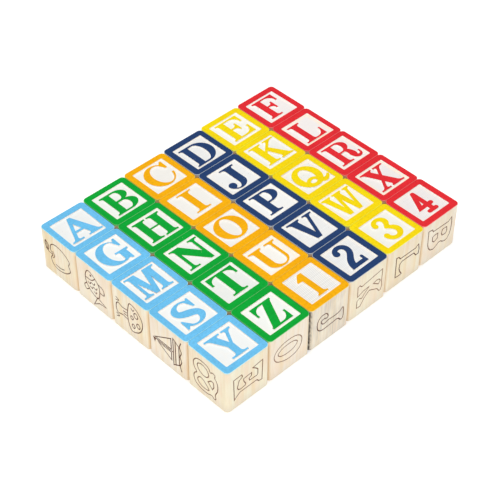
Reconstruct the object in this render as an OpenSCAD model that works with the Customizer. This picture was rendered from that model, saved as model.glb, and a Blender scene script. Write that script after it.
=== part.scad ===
// Set of thirty wooden alphabet blocks, standing in six columns and five rows.
// Every block is a rounded cube whose top face is painted and then engraved away around a raised
// frame and a raised slab-serif mark. The paint on frame and mark is a thin coat of its own.
// Millimetres, +X runs along a row, +Y is up the page of the marks, +Z is up.

/* [Block] */
// Edge length of one cube, coat included
block_edge = 30; // [26:0.5:40]
// Radius of the four upright edges
upright_round = 2.4; // [1.5:0.1:4]
// Radius of the edges around the top and the underside
rim_round = 0.15; // [0.1:0.05:0.8]

/* [Painted face] */
// How much rounder the corners of the painted frame are than the wood under them
corner_wear = 0.25; // [0:0.05:1.5]
// Thickness of the paint coat
paint_t = 0.1; // [0.05:0.05:0.3]
// Width of the painted frame
frame_w = 3.7; // [2.5:0.1:4.5]
// Depth that the ground is engraved below the bare wood
engrave_depth = 0.8; // [0.3:0.1:2]
// Corner radius of the engraved ground
ground_round = 0.6; // [0.2:0.1:1.2]

/* [Marks] */
// Gap between the frame and the head or foot of a mark
mark_margin = 1.85; // [1.4:0.05:3]
// Thickness of the slab serifs
slab_t = 1.1; // [0.8:0.1:1.6]
// Radius of the brackets that join a serif to its stem
bracket_r = 1.6; // [0.8:0.1:2.2]

/* [Layout] */
// Gap between two columns of blocks
column_gap = 0.45; // [0.2:0.05:2]
// Gap between two rows of blocks
row_gap = 0.15; // [0.1:0.05:2]

/* [Hidden] */
// Sub-part to draw, or all of them
// Overrun of a cut past the face that it opens, and of a stroke into the one that it meets
overrun = 0.5;
// Smoothness of true circles, and the largest turn between two points of an outline
$fn = 48;
turn_step = 10;
brush_steps = 14;

// Marks in reading order, back row first, and the colours of the six columns
rows = ["abcdef", "ghijkl", "mnopqr", "stuvwx", "yz1234"];
column_count = len(rows[0]);
row_count = len(rows);
marks = [for (row = rows) for (mark = row) mark];
column_colours = ["#6bbef5", "#08a630", "#ffb105", "#213e75", "#fadc08", "#ee2a32"];
wood_colour = "#f0dcc0";

// Sizes that follow from the ones above
wood_h = block_edge - paint_t;
paint_inset = rim_round;
paint_round = upright_round - paint_inset + corner_wear;
ground_side = block_edge - 2 * (paint_inset + frame_w);
mark_h = ground_side - 2 * mark_margin;
column_pitch = block_edge + column_gap;
row_pitch = block_edge + row_gap;

// Places of the columns, pushed back by shares of the block edge as the set was laid out
column_slip_shares = [0, 0.020, 0.032, 0.045, 0.075, 0.089];

// Slips of each print on its block: sideways and up as shares of mark_margin, its turn in degrees,
// and the lift of the mark inside its frame as a share of mark_margin
print_slip_shares = [
    [-0.15, -0.20, -0.4, 0], [0, 0, 0.5, -0.2], [0, 0, 0.6, 0],
    [0.15, -0.15, 0.6, -0.3], [0, 0, 0.8, 0.15], [0, -0.15, 0.4, 0.2],
    [0, 0.15, -0.8, 0], [0.1, 0, -0.2, -0.1], [-0.1, 0.15, 0.5, 0.3],
    [-0.2, 0, 0.2, -0.2], [0, 0.25, 0.2, 0.25], [0.1, -0.2, 0, -0.2],
    [0.1, 0.2, -0.8, 0.3], [0.2, 0, 0, 0], [-0.15, 0.15, 0.2, 0.3],
    [0, 0.2, 0.4, 0.3], [0.1, 0, 0.4, 0], [0, 0.15, 0, 0.2],
    [-0.1, 0, -0.3, -0.1], [0.1, 0.2, 0, 0.2], [0.15, -0.15, 0.3, -0.25],
    [0, 0, -0.3, 0.2], [-0.15, 0, -0.4, 0.1], [0, -0.1, 0, 0],
    [-0.1, 0, -0.5, -0.1], [0, -0.15, 0, -0.1], [0.3, 0, 0.6, -0.1],
    [-0.1, 0.1, 0.7, 0], [0, -0.2, 0.1, 0], [-0.15, 0.1, -0.2, 0]
];

// Strokes of each mark in shares of mark_h. The first number runs to the right from the mark's
// middle and the second up from its foot. The forms are
// bar: left, foot, right, head
// leg: middle, height and width at one end, then at the other
// slab: left, right, level, the stem's left and right there, and how far each of those leans
// bowl: middle, height, half width and half height, the counter's own, its shift, two angles
// ball: middle, height, radius
// fill: a corner, its reach sideways and upwards
// brush: four steering points, then the widths at the start, middle and end
// plate: corner points
mark_shares = [
    ["a", ["leg", -0.38, 0, 0.13, 0.02, 1, 0.12],
        ["plate", [[0.215, 0], [0.485, 0], [0.075, 1], [-0.04, 1], [-0.09, 0.87]]],
        ["bar", -0.24, 0.325, 0.20, 0.41], ["slab", -0.53, -0.12, 0, -0.445, -0.315, 0.40, 0.395],
        ["slab", 0.08, 0.56, 0, 0.215, 0.485, -0.353, -0.41]],
    ["b", ["bar", -0.34, 0, -0.10, 0.98], ["slab", -0.44, -0.10, 0, -0.34, -0.10],
        ["slab", -0.44, -0.10, 0.98, -0.34, -0.10], ["bar", -0.20, 0.915, 0.06, 0.98],
        ["bar", -0.20, 0.475, 0.10, 0.555], ["bar", -0.20, 0, 0.10, 0.065],
        ["bowl", 0.06, 0.735, 0.36, 0.245, 0.12, 0.18, 0, -90, 90],
        ["bowl", 0.08, 0.27, 0.40, 0.27, 0.16, 0.205, 0, -90, 90]],
    ["c", ["bowl", 0.01, 0.51, 0.49, 0.52, 0.315, 0.445, 0.095, 40, 347],
        ["plate", [[0.47, 1.01], [0.455, 0.66], [0.385, 0.66], [0.25, 0.92], [0.32, 0.905],
            [0.40, 1.01]]]],
    ["d", ["bar", -0.39, 0, -0.16, 0.98], ["slab", -0.49, -0.16, 0, -0.39, -0.16],
        ["slab", -0.49, -0.16, 0.98, -0.39, -0.16], ["bar", -0.30, 0, 0.02, 0.07],
        ["bar", -0.30, 0.91, 0.02, 0.98], ["bowl", 0.01, 0.49, 0.49, 0.49, 0.225, 0.42, 0, -90, 90]],
    ["e", ["bar", -0.35, 0, -0.11, 1], ["slab", -0.44, -0.11, 0, -0.35, -0.11],
        ["slab", -0.44, -0.11, 1, -0.35, -0.11], ["bar", -0.20, 0.935, 0.455, 1],
        ["bar", -0.20, 0, 0.455, 0.065], ["bar", -0.20, 0.49, 0.17, 0.555],
        ["bar", 0.375, 0.65, 0.455, 1], ["fill", 0.385, 0.935, -0.28, -0.27],
        ["bar", 0.375, 0, 0.455, 0.39], ["fill", 0.385, 0.065, -0.30, 0.30],
        ["bar", 0.115, 0.36, 0.185, 0.70], ["fill", 0.125, 0.555, -0.18, 0.13],
        ["fill", 0.125, 0.49, -0.18, -0.12]],
    ["f", ["bar", -0.33, 0, -0.09, 1], ["slab", -0.42, 0.06, 0, -0.33, -0.09],
        ["slab", -0.42, -0.09, 1, -0.33, -0.09], ["bar", -0.20, 0.935, 0.435, 1],
        ["bar", -0.20, 0.515, 0.17, 0.58], ["bar", 0.355, 0.65, 0.435, 1],
        ["fill", 0.365, 0.935, -0.28, -0.27], ["bar", 0.115, 0.35, 0.185, 0.70],
        ["fill", 0.125, 0.58, -0.18, 0.11], ["fill", 0.125, 0.515, -0.18, -0.14]],
    ["g", ["bowl", -0.02, 0.51, 0.46, 0.52, 0.30, 0.445, 0.13, 44, 290],
        ["plate", [[0.42, 1], [0.415, 0.65], [0.35, 0.65], [0.225, 0.935], [0.30, 0.88], [0.35, 1]]],
        ["bar", 0.16, 0.05, 0.41, 0.46], ["bar", 0.04, 0.405, 0.50, 0.47],
        ["fill", 0.17, 0.405, -0.08, -0.07], ["fill", 0.40, 0.405, 0.07, -0.08],
        ["plate", [[0.10, 0.05], [0.06, -0.001], [0.18, 0.012], [0.29, 0.06], [0.36, -0.01],
            [0.41, -0.01], [0.41, 0.14], [0.18, 0.14]]]],
    ["h", ["bar", -0.41, 0, -0.16, 1], ["bar", 0.15, 0, 0.40, 1], ["bar", -0.20, 0.495, 0.20, 0.555],
        ["slab", -0.50, -0.04, 0, -0.41, -0.16], ["slab", -0.50, -0.04, 1, -0.41, -0.16],
        ["slab", 0.03, 0.50, 0, 0.15, 0.40], ["slab", 0.03, 0.50, 1, 0.15, 0.40]],
    ["i", ["bar", -0.13, 0, 0.11, 1], ["slab", -0.29, 0.26, 0, -0.13, 0.11],
        ["slab", -0.29, 0.26, 1, -0.13, 0.11]],
    ["j", ["bar", -0.02, 0.24, 0.24, 1], ["slab", -0.19, 0.37, 1, -0.02, 0.24],
        ["bowl", -0.10, 0.26, 0.34, 0.28, 0.155, 0.225, -0.075, 190, 360],
        ["ball", -0.305, 0.225, 0.135]],
    ["k", ["bar", -0.36, 0, -0.11, 1], ["slab", -0.48, 0.01, 0, -0.36, -0.11],
        ["slab", -0.48, 0.01, 1, -0.36, -0.11],
        ["plate", [[-0.15, 0.44], [0.455, 1], [0.31, 1], [-0.15, 0.565]]],
        ["plate", [[-0.03, 0.57], [0.225, 0], [0.52, 0], [0.11, 0.69]]],
        ["slab", 0.12, 0.56, 1, 0.31, 0.455, 1.06, 1.08],
        ["slab", 0.10, 0.57, 0, 0.225, 0.52, -0.45, -0.59]],
    ["l", ["bar", -0.34, 0, -0.11, 0.98], ["slab", -0.48, 0.01, 0.98, -0.34, -0.11],
        ["slab", -0.48, -0.11, 0, -0.34, -0.11], ["bar", -0.20, 0, 0.365, 0.06],
        ["bar", 0.30, 0, 0.365, 0.36], ["fill", 0.31, 0.06, -0.28, 0.28],
        ["fill", -0.11, 0.06, 0.07, 0.09]],
    ["m", ["bar", -0.41, 0, -0.31, 1], ["slab", -0.53, -0.21, 0, -0.41, -0.31],
        ["slab", -0.53, -0.25, 1, -0.41, -0.25], ["leg", -0.285, 1, 0.24, -0.06, 0, 0.145],
        ["leg", 0.215, 1, 0.17, -0.06, 0, 0.145], ["bar", 0.20, 0, 0.40, 1],
        ["slab", 0.25, 0.52, 1, 0.25, 0.40], ["slab", 0.09, 0.51, 0, 0.20, 0.40]],
    ["n", ["bar", -0.36, 0, -0.25, 1], ["slab", -0.49, -0.10, 0, -0.36, -0.25],
        ["slab", -0.49, -0.25, 1, -0.36, -0.25], ["bar", 0.33, 0.20, 0.43, 1],
        ["plate", [[-0.35, 1], [-0.12, 1], [0.43, 0.28], [0.43, 0], [0.31, 0], [-0.35, 0.82]]],
        ["slab", 0.22, 0.56, 1, 0.33, 0.43]],
    ["o", ["bowl", -0.01, 0.50, 0.52, 0.51, 0.235, 0.43, 0, 0, 360]],
    ["p", ["bar", -0.29, 0, -0.05, 1], ["slab", -0.43, 0.09, 0, -0.29, -0.05],
        ["slab", -0.43, -0.05, 1, -0.29, -0.05], ["bar", -0.20, 0.93, 0.11, 1],
        ["bar", -0.20, 0.46, 0.11, 0.53],
        ["bowl", 0.09, 0.73, 0.38, 0.27, 0.12, 0.20, 0, -90, 90]],
    ["q", ["bowl", -0.02, 0.50, 0.49, 0.51, 0.235, 0.36, 0, 0, 360],
        ["bowl", -0.02, 0.21, 0.25, 0.21, 0.12, 0.085, 0, 0, 360],
        ["brush", [[0.12, 0.16], [0.22, 0.04], [0.42, 0.00], [0.56, 0.20]], [0.12, 0.18, 0.08]]],
    ["r", ["bar", -0.35, 0, -0.12, 1], ["slab", -0.49, 0.01, 0, -0.35, -0.12],
        ["slab", -0.49, -0.12, 1, -0.35, -0.12], ["bar", -0.20, 0.935, 0.05, 1],
        ["bar", -0.20, 0.485, 0.12, 0.55],
        ["bowl", 0.04, 0.7425, 0.335, 0.2575, 0.12, 0.1925, 0, -90, 90],
        ["brush", [[0.11, 0.53], [0.30, 0.38], [0.12, 0.09], [0.30, 0.065]], [0.13, 0.25, 0.13]],
        ["brush", [[0.26, 0.065], [0.43, 0.04], [0.46, 0.12], [0.455, 0.27]], [0.13, 0.08, 0.055]]],
    ["s", ["bowl", -0.01, 0.70, 0.39, 0.28, 0.21, 0.215, 0.045, 42, 190],
        ["bowl", 0.00, 0.27, 0.39, 0.28, 0.21, 0.215, -0.045, -142, 10],
        ["brush", [[-0.295, 0.72], [-0.295, 0.44], [0.285, 0.53], [0.285, 0.25]], [0.21, 0.26, 0.21]],
        ["plate", [[0.345, 0.97], [0.345, 0.60], [0.285, 0.60], [0.155, 0.895], [0.23, 0.88],
            [0.29, 0.97]]],
        ["plate", [[-0.42, 0], [-0.40, 0.36], [-0.355, 0.36], [-0.18, 0.10], [-0.29, 0.09],
            [-0.36, 0]]]],
    ["t", ["bar", -0.13, 0, 0.13, 1], ["slab", -0.28, 0.28, 0, -0.13, 0.13],
        ["bar", -0.49, 0.93, 0.49, 1], ["bar", -0.49, 0.66, -0.41, 1], ["bar", 0.41, 0.66, 0.49, 1],
        ["fill", -0.42, 0.93, 0.26, -0.26], ["fill", 0.42, 0.93, -0.26, -0.26]],
    ["u", ["bar", -0.38, 0.24, -0.14, 0.98], ["slab", -0.53, -0.04, 0.98, -0.38, -0.14],
        ["bar", 0.28, 0.24, 0.38, 0.98], ["slab", 0.11, 0.50, 0.98, 0.28, 0.38],
        ["bowl", 0, 0.25, 0.38, 0.28, 0.21, 0.215, 0.07, 180, 360]],
    ["v", ["leg", -0.23, 1, 0.28, -0.03, 0, 0.19], ["leg", 0.375, 1, 0.12, 0, 0, 0.12],
        ["slab", -0.48, 0.02, 1, -0.37, -0.09, -0.245, -0.155],
        ["slab", 0.16, 0.53, 1, 0.315, 0.435, 0.375, 0.375]],
    ["w", ["leg", -0.40, 1, 0.22, -0.23, 0, 0.16], ["leg", 0.0, 1, 0.12, -0.21, 0, 0.12],
        ["leg", 0.04, 1, 0.22, 0.17, 0, 0.16], ["leg", 0.46, 1, 0.11, 0.18, 0, 0.12],
        ["slab", -0.57, -0.20, 1, -0.51, -0.29, -0.20, -0.14],
        ["slab", -0.13, 0.24, 1, -0.05, 0.15, 0.10, -0.10],
        ["slab", 0.32, 0.57, 1, 0.405, 0.515, 0.285, 0.275]],
    ["x", ["leg", -0.29, 1, 0.27, 0.23, 0, 0.30], ["leg", 0.29, 1, 0.12, -0.34, 0, 0.12],
        ["slab", -0.50, -0.02, 1, -0.425, -0.155, -0.505, -0.535],
        ["slab", 0.06, 0.46, 1, 0.23, 0.35, 0.63, 0.63],
        ["slab", -0.50, -0.10, 0, -0.40, -0.28, 0.63, 0.63],
        ["slab", -0.02, 0.48, 0, 0.08, 0.38, -0.505, -0.535]],
    ["y", ["bar", -0.08, 0, 0.14, 0.52], ["slab", -0.27, 0.31, 0, -0.08, 0.14],
        ["leg", -0.25, 0.98, 0.27, 0.02, 0.42, 0.20], ["leg", 0.34, 0.98, 0.12, 0.09, 0.45, 0.10],
        ["slab", -0.48, 0.06, 0.98, -0.385, -0.115, -0.55, -0.42],
        ["slab", 0.13, 0.46, 0.98, 0.28, 0.40, 0.45, 0.49]],
    ["z", ["leg", 0.24, 0.98, 0.29, -0.22, 0, 0.29], ["bar", -0.38, 0.91, 0.385, 0.98],
        ["bar", -0.365, 0, 0.39, 0.07], ["bar", -0.38, 0.60, -0.31, 0.98],
        ["fill", -0.32, 0.91, 0.26, -0.28], ["bar", 0.32, 0, 0.39, 0.36],
        ["fill", 0.33, 0.07, -0.26, 0.28]],
    ["1", ["bar", -0.13, 0, 0.07, 0.90], ["slab", -0.21, 0.17, 0, -0.13, 0.07],
        ["plate", [[-0.08, 1.02], [0.07, 1.02], [0.07, 0.80], [-0.11, 0.73], [-0.30, 0.75],
            [-0.28, 0.81]]]],
    ["2", ["bowl", -0.04, 0.75, 0.30, 0.28, 0.12, 0.12, -0.01, -12, 170], ["ball", -0.23, 0.78, 0.11],
        ["brush", [[0.165, 0.76], [0.165, 0.46], [-0.17, 0.45], [-0.215, 0.06]], [0.19, 0.20, 0.24]],
        ["plate", [[-0.345, 0], [0.30, 0], [0.30, 0.15], [-0.31, 0.15]]],
        ["bar", 0.20, 0.05, 0.30, 0.25], ["ball", 0.25, 0.245, 0.05]],
    ["3", ["bowl", 0.01, 0.78, 0.29, 0.25, 0.10, 0.11, -0.01, -58, 180],
        ["bowl", 0.02, 0.28, 0.34, 0.30, 0.14, 0.145, -0.01, -180, 60], ["ball", -0.185, 0.78, 0.095],
        ["ball", -0.22, 0.28, 0.10], ["ball", 0.03, 0.553, 0.06],
        ["plate", [[0.075, 0.70], [0, 0.59], [0, 0.515], [0.10, 0.398], [0.20, 0.50],
            [0.19, 0.563], [0.20, 0.61]]]],
    ["4", ["bar", -0.01, 0.04, 0.16, 0.92], ["ball", 0.075, 0.915, 0.085],
        ["leg", 0.07, 0.93, 0.15, -0.26, 0.25, 0.20], ["bar", -0.27, 0.25, 0.23, 0.40],
        ["ball", 0.23, 0.325, 0.075], ["bar", -0.11, 0, 0.19, 0.14], ["ball", -0.11, 0.07, 0.07],
        ["ball", 0.19, 0.07, 0.07]]
];

for (k = [0 : len(marks) - 1]) {
    block(k);
    paint(k);
}

// One block of bare wood, engraved around its frame and mark
module block(k) {
    color(wood_colour) at_place(k) difference() {
        rounded_cube();
        translate([0, 0, wood_h - engrave_depth])
            linear_extrude(height = engrave_depth + overrun) at_print(k) difference() {
                ground();
                mark_outline(k);
            }
    }
}

// The paint coat that lies on one block's frame and mark
module paint(k) {
    color(column_colours[k % column_count]) at_place(k) translate([0, 0, wood_h])
        linear_extrude(height = paint_t) union() {
            difference() {
                rounded_square(block_edge - 2 * paint_inset, paint_round);
                at_print(k) ground();
            }
            at_print(k) mark_outline(k);
        }
}

// Puts a block at its place in the layout
module at_place(k) {
    column = k % column_count;
    row = row_count - 1 - floor(k / column_count);
    slip = column_slip_shares[column] * block_edge;
    slip_middle = (max(column_slip_shares) + min(column_slip_shares)) / 2 * block_edge;
    translate([
        (column - (column_count - 1) / 2) * column_pitch,
        (row - (row_count - 1) / 2) * row_pitch + slip - slip_middle,
        0
    ]) children();
}

// Puts the print on its block, a little out of true
module at_print(k) {
    slip = print_slip_shares[k];
    translate([slip[0] * mark_margin, slip[1] * mark_margin]) rotate(slip[2]) children();
}

// Cube with rounded upright edges and finer rounded rims
module rounded_cube() {
    flat = block_edge - 2 * upright_round;
    for (turn = [0, 90])
        rotate(turn) rotate([90, 0, 90]) linear_extrude(height = flat, center = true)
            translate([0, wood_h / 2]) rounded_rectangle([block_edge, wood_h], rim_round);
    for (x = [-1, 1])
        for (y = [-1, 1])
            translate([x * flat / 2, y * flat / 2, 0]) rotate_extrude() intersection() {
                translate([0, wood_h / 2])
                    rounded_rectangle([2 * upright_round, wood_h], rim_round);
                square([upright_round, wood_h]);
            }
}

// Engraved ground inside the frame
module ground() {
    rounded_square(ground_side, ground_round);
}

module rounded_square(side, radius) {
    rounded_rectangle([side, side], radius);
}

// Rectangle about the origin with true round corners
module rounded_rectangle(size, radius) {
    inner = [size[0] - 2 * radius, size[1] - 2 * radius];
    square([size[0], inner[1]], center = true);
    square([inner[0], size[1]], center = true);
    for (x = [-1, 1])
        for (y = [-1, 1])
            translate([x * inner[0] / 2, y * inner[1] / 2]) circle(r = radius);
}

// Outline of one mark, its height centred on the ground
module mark_outline(k) {
    strokes = mark_shares[k];
    lift = print_slip_shares[k][3] * mark_margin;
    translate([0, lift - mark_h / 2]) for (s = [1 : len(strokes) - 1]) stroke(strokes[s]);
}

// Draws one stroke of the table by its form
module stroke(s) {
    h = mark_h;
    leans = len(s) > 6 ? [s[6], s[7]] : [0, 0];
    if (s[0] == "bar") bar([s[1], s[2]] * h, [s[3], s[4]] * h);
    if (s[0] == "leg") leg([s[1], s[2]] * h, s[3] * h, [s[4], s[5]] * h, s[6] * h);
    if (s[0] == "slab") slab([s[1], s[2]] * h, s[3] * h, [s[4], s[5]] * h, leans);
    if (s[0] == "bowl") bowl([s[1], s[2]] * h, [s[3], s[4]] * h, [s[5], s[6]] * h, s[7] * h, s[8], s[9]);
    if (s[0] == "ball") translate([s[1], s[2]] * h) circle(r = s[3] * h);
    if (s[0] == "fill") fill([s[1], s[2]] * h, [s[3], s[4]] * h);
    if (s[0] == "brush") brush(s[1] * h, s[2] * h);
    if (s[0] == "plate") outline(s[1] * h);
}

// Polygon whose points run anticlockwise however they are given, so that strokes join as one
module outline(points) {
    count = len(points);
    turns = [for (k = [0 : count - 1]) cross(points[k], points[(k + 1) % count])];
    area = turns * [for (turn = turns) 1];
    polygon(area < 0 ? [for (k = [count - 1 : -1 : 0]) points[k]] : points);
}

// Upright rectangle between two corners
module bar(low, high) {
    translate(low) square(high - low);
}

// Slanting stroke cut level at both ends
module leg(a, a_width, b, b_width) {
    a_half = [a_width / 2, 0];
    b_half = [b_width / 2, 0];
    outline([a - a_half, a + a_half, b + b_half, b - b_half]);
}

// Slab serif between two ends, at a foot on level 0 or a head above it. It is bracketed to a stem
// whose two sides stand at stem and lean sideways by lean for each unit of height.
module slab(ends, level, stem, lean) {
    up = level > 0 ? -1 : 1;
    low = level > 0 ? level - slab_t : 0;
    bar([ends[0], low], [ends[1], low + slab_t]);
    for (side = [0, 1]) {
        outward = side == 0 ? -1 : 1;
        rise = lean[side] * up;
        foot = stem[side] + rise * slab_t;
        reach = min(bracket_r, outward * (ends[side] - foot));
        if (reach > 0)
            fill([foot, level + up * slab_t], [outward * reach, up * bracket_r], rise * bracket_r);
    }
}

// Concave corner between a stroke that runs sideways and one that runs up or down, whose far end
// stands sideways by shift
module fill(corner, reach, shift = 0) {
    lap = [sign(reach[0]), sign(reach[1])] * -overrun;
    curve = [
        for (a = [0 : turn_step : 90])
            corner + [reach[0] * (1 - sin(a)) + shift * (1 - cos(a)), reach[1] * (1 - cos(a))]
    ];
    outline(concat(
        [corner + lap, [curve[0][0], corner[1] + lap[1]]],
        curve,
        [[corner[0] + shift + lap[0], corner[1] + reach[1]]]
    ));
}

// Curved stroke between an outer ellipse and its counter, from start to end
module bowl(middle, outer, counter, shift, start, end) {
    rim = oval_points(middle, outer, start, end);
    difference() {
        polygon(end - start < 360 ? concat([middle], rim) : rim);
        polygon(oval_points(middle + [shift, 0], counter, 0, 360));
    }
}

// Points on an ellipse, without a second copy of the first point of a full turn
function oval_points(middle, radii, start, end) =
    let (steps = ceil((end - start) / turn_step), last = end - start < 360 ? steps : steps - 1)
    [
        for (k = [0 : last])
            let (a = start + (end - start) * k / steps)
            middle + [radii[0] * cos(a), radii[1] * sin(a)]
    ];

// Stroke along a curve steered by four points, with its width at the start, middle and end
module brush(steer, widths) {
    left = [for (k = [0 : brush_steps]) brush_edge(steer, widths, k / brush_steps, 1)];
    right = [for (k = [brush_steps : -1 : 0]) brush_edge(steer, widths, k / brush_steps, -1)];
    outline(concat(left, right));
}

// Point at the side of a brush stroke, a share t along it
function brush_edge(steer, widths, t, side) =
    let (
        place = pow(1 - t, 3) * steer[0] + 3 * pow(1 - t, 2) * t * steer[1]
            + 3 * (1 - t) * t * t * steer[2] + pow(t, 3) * steer[3],
        along = pow(1 - t, 2) * (steer[1] - steer[0]) + 2 * (1 - t) * t * (steer[2] - steer[1])
            + t * t * (steer[3] - steer[2]),
        width = t < 0.5 ? widths[0] + (widths[1] - widths[0]) * 2 * t
            : widths[1] + (widths[2] - widths[1]) * (2 * t - 1)
    )
    place + side * width / 2 * [-along[1], along[0]] / norm(along);
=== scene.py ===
"""Thirty wooden alphabet blocks on a pale floor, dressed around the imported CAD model.

Lengths are in millimetres, apart from those that say metres, and are scaled by MM where they meet Blender,
whose unit is the metre.
"""
import math
import random

import bmesh
import bpy
from mathutils import Matrix, Vector
from mathutils.geometry import delaunay_2d_cdt


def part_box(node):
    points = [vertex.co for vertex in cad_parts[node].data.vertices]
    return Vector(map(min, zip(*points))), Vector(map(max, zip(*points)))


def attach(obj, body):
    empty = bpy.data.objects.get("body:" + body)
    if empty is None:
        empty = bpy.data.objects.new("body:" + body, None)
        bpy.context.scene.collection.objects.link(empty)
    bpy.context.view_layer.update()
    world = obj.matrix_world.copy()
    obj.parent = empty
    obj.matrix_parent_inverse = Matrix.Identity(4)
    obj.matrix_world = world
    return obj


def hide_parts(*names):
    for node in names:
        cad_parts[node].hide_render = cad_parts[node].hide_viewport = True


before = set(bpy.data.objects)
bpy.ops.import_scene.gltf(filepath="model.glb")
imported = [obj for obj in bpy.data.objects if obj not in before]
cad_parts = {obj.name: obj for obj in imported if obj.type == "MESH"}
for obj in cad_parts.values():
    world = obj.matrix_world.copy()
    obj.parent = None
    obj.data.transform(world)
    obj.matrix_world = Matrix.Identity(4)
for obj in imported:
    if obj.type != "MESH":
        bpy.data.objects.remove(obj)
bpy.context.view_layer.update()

MM = 0.001
MARKS = "abcdefghijklmnopqrstuvwxyz1234"
LETTERS = MARKS[:26]
COLUMNS = 6
ROWS = len(MARKS) // COLUMNS

# A block's random draws start from SEED plus its number.
SEED = 30000

# The cube, as the CAD model has it. The engraving lies within FLAT_HALF of its middle.
EDGE = 30.0
HALF = EDGE / 2
WOOD_TOP = 29.9
GROUND_Z = 29.1
FLAT_HALF = 12.4

# Heights closer than NEAR are the same, and points closer than WELD, in metres, are one.
NEAR = 0.02
WELD = 1e-7

# How far up a face's normal points, from 0 for a wall to 1 for a level face.
LEVEL_LEAST = 0.9
WALL_MOST = 0.5
RIDGE_LEAST = 0.4
END_LEAST = 0.6
SOFT_ANGLE = math.radians(32)

# Laser lines on the sides. The darkest are wider by the share BURNT_WIDER, and those of a block for which no
# darkness is given by BURNT_MIDDLING of that. Their cutter stands LINE_PROUD out of the side.
LINE_W = 0.49
PICTURE_LINE_W = 0.50
BURNT_WIDER = 0.34
BURNT_MIDDLING = 0.5
LINE_DEPTH = 0.16
LINE_PROUD = 0.1
PICTURE_SCALE = 1.12
SIDE_LETTER_H = 19.6
SIDE_LETTER_NARROW = 0.84

# Only the frame's outlines are wider than WIDEST_MARK. No mark's outline keeps two points closer than
# LEAST_STEP, and no stroke is drawn out further at a bend than 1 / MITRE_LEAST times its width.
WIDEST_MARK = 21.8
LEAST_STEP = 0.4
MITRE_LEAST = 0.35
CURVE_STEPS = 5

# What the triangulation is asked for: the inside of the outlines, with points this close joined.
INSIDE_ONLY = 1
JOINED_WITHIN = 1e-4

# Burnt faces lie this far inside a side's upper and lower edges.
BURNT_OFF_EDGE = 0.6

# Raster of the engraved ground. Its ridges rise RASTER_RISE on the block where they show most plainly, and
# RASTER_LEAST of that where they show least. Each ridge has a share of its own, from CREST_LEAST to 1, and
# its crest begins and ends at CREST_SHARES of the pitch. Between ridges the slab lies RASTER_LOW over the
# ground. It reaches RASTER_ROOT down and RASTER_LAP sideways into the block.
RASTER_PITCH = 0.9
RASTER_RISE = 0.09
RASTER_LEAST = 0.4
CREST_LEAST = 0.7
CREST_SHARES = (0.30, 0.66)
RASTER_LOW = 0.012
RASTER_ROOT = 0.5
RASTER_LAP = 0.35

# A block gets painted shade, warm as light reflected between the blocks, where it has a neighbour, and two
# get a painted dark shadow on one side, from this far out from its middle, and fully from the last of these
# on.
GAP_SHADE_FROM = 13.7
GAP_SHADOW_FROM = 13.3
GAP_SHADE_FULL = 14.8

# Where in its log a block may have lain: from the pith, along the log, and its tilt in radians.
PITH_AWAY = (25, 70)
LOG_HALF = 400
LOG_TILT = 0.03

# Year rings: they count only the way across the log. Their late wood is set off by LATE_POWER.
ACROSS_LOG = (1.0, 1.0, 0.0)
RING_WIDTH = 2.3
RING_WANDER = 9.0
LATE_POWER = 2.0

# Paints, one a column, from the left.
PAINT_COLOURS = {
    "light_blue": (0.153, 0.526, 0.850),
    "green": (0.0006, 0.372, 0.034),
    "orange": (0.950, 0.432, 0.0015),
    "navy": (0.0170, 0.049, 0.155),
    "yellow": (0.960, 0.700, 0.0024),
    "red": (0.780, 0.0245, 0.0330),
}
PAINTS = tuple(PAINT_COLOURS)
PAINT_DARKER = 0.72
PAINT_LIGHTER = 1.12
PAINT_SPECULAR = 0.1

# How much of the coat's colour is on the bare rim beside it, and how many times lighter it is there, which is
# a painted highlight. The rim's white is cooled a little against the warm light between the blocks, and some
# of the rim's colour is laid on the ground as a painted reflection of the paint.
RIM_COAT = {"light_blue": 0.7, "green": 0.85, "orange": 0.95, "navy": 0.42, "yellow": 0.95, "red": 0.85}
RIM_HIGHLIGHT = 1.6
RIM_WHITE = (0.92, 1.0, 1.0)
PAINT_REFLECTED_ON_GROUND = 0.05

# The floor. Its size and how far it lies below the blocks are in metres.
FLOOR_HALF = 3.0
FLOOR_DROP = 0.0002
FLOOR_SQUARES = 4
FLOOR_DIM = (0.88, 0.88, 0.88, 1.0)
FLOOR_BRIGHT = (0.91, 0.91, 0.91, 1.0)
FLOOR_GLOW = 0.3
WHITE = (1.0, 1.0, 1.0, 1.0)


def srgb(r, g, b):
    """A colour given as it looks on screen, 0 to 255, as linear values by the sRGB curve."""
    def one(v):
        v /= 255
        return v / 12.92 if v <= 0.04045 else ((v + 0.055) / 1.055) ** 2.4
    return (one(r), one(g), one(b), 1.0)


COLOURS = {
    "cream_wood": srgb(255, 247, 221),
    "rosy_wood": srgb(255, 244, 228),
    "cloud": srgb(254, 232, 206),
    "band": srgb(249, 226, 178),
    "late_wood": srgb(236, 206, 158),
    "grey_stain": srgb(204, 200, 192),
    "fibre": srgb(224, 192, 150),
    "pore": srgb(238, 210, 168),
    # Painted shade: the sides darker towards the foot.
    "painted_foot_shade": srgb(224, 214, 202),
    # Painted shade in the gaps between blocks, warm as light reflected off the wood, paler near the top.
    "low_gap_shade": srgb(230, 198, 150),
    "high_gap_shade": srgb(255, 226, 186),
    # Painted shade: grey shade and a dark brown shadow in one shadowed gap between two blocks.
    "grey_gap_shade": srgb(176, 166, 150),
    "gap_shadow": srgb(58, 44, 28),
    "ground": srgb(247, 246, 243),
    "grey_ground": srgb(210, 211, 213),
    "crest": srgb(252, 252, 250),
    "cream_margin": srgb(255, 234, 208),
    "ground_patch": srgb(252, 243, 230),
    "speck": srgb(150, 112, 84),
    "pale_wall": srgb(255, 254, 250),
    "cream_wall": srgb(254, 248, 236),
    "singe": srgb(134, 88, 56),
    "faint_line": srgb(176, 128, 92),
    "dark_line": srgb(84, 30, 12),
    "line_patch": srgb(166, 104, 66),
    "fleck": srgb(240, 228, 208),
}

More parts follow.
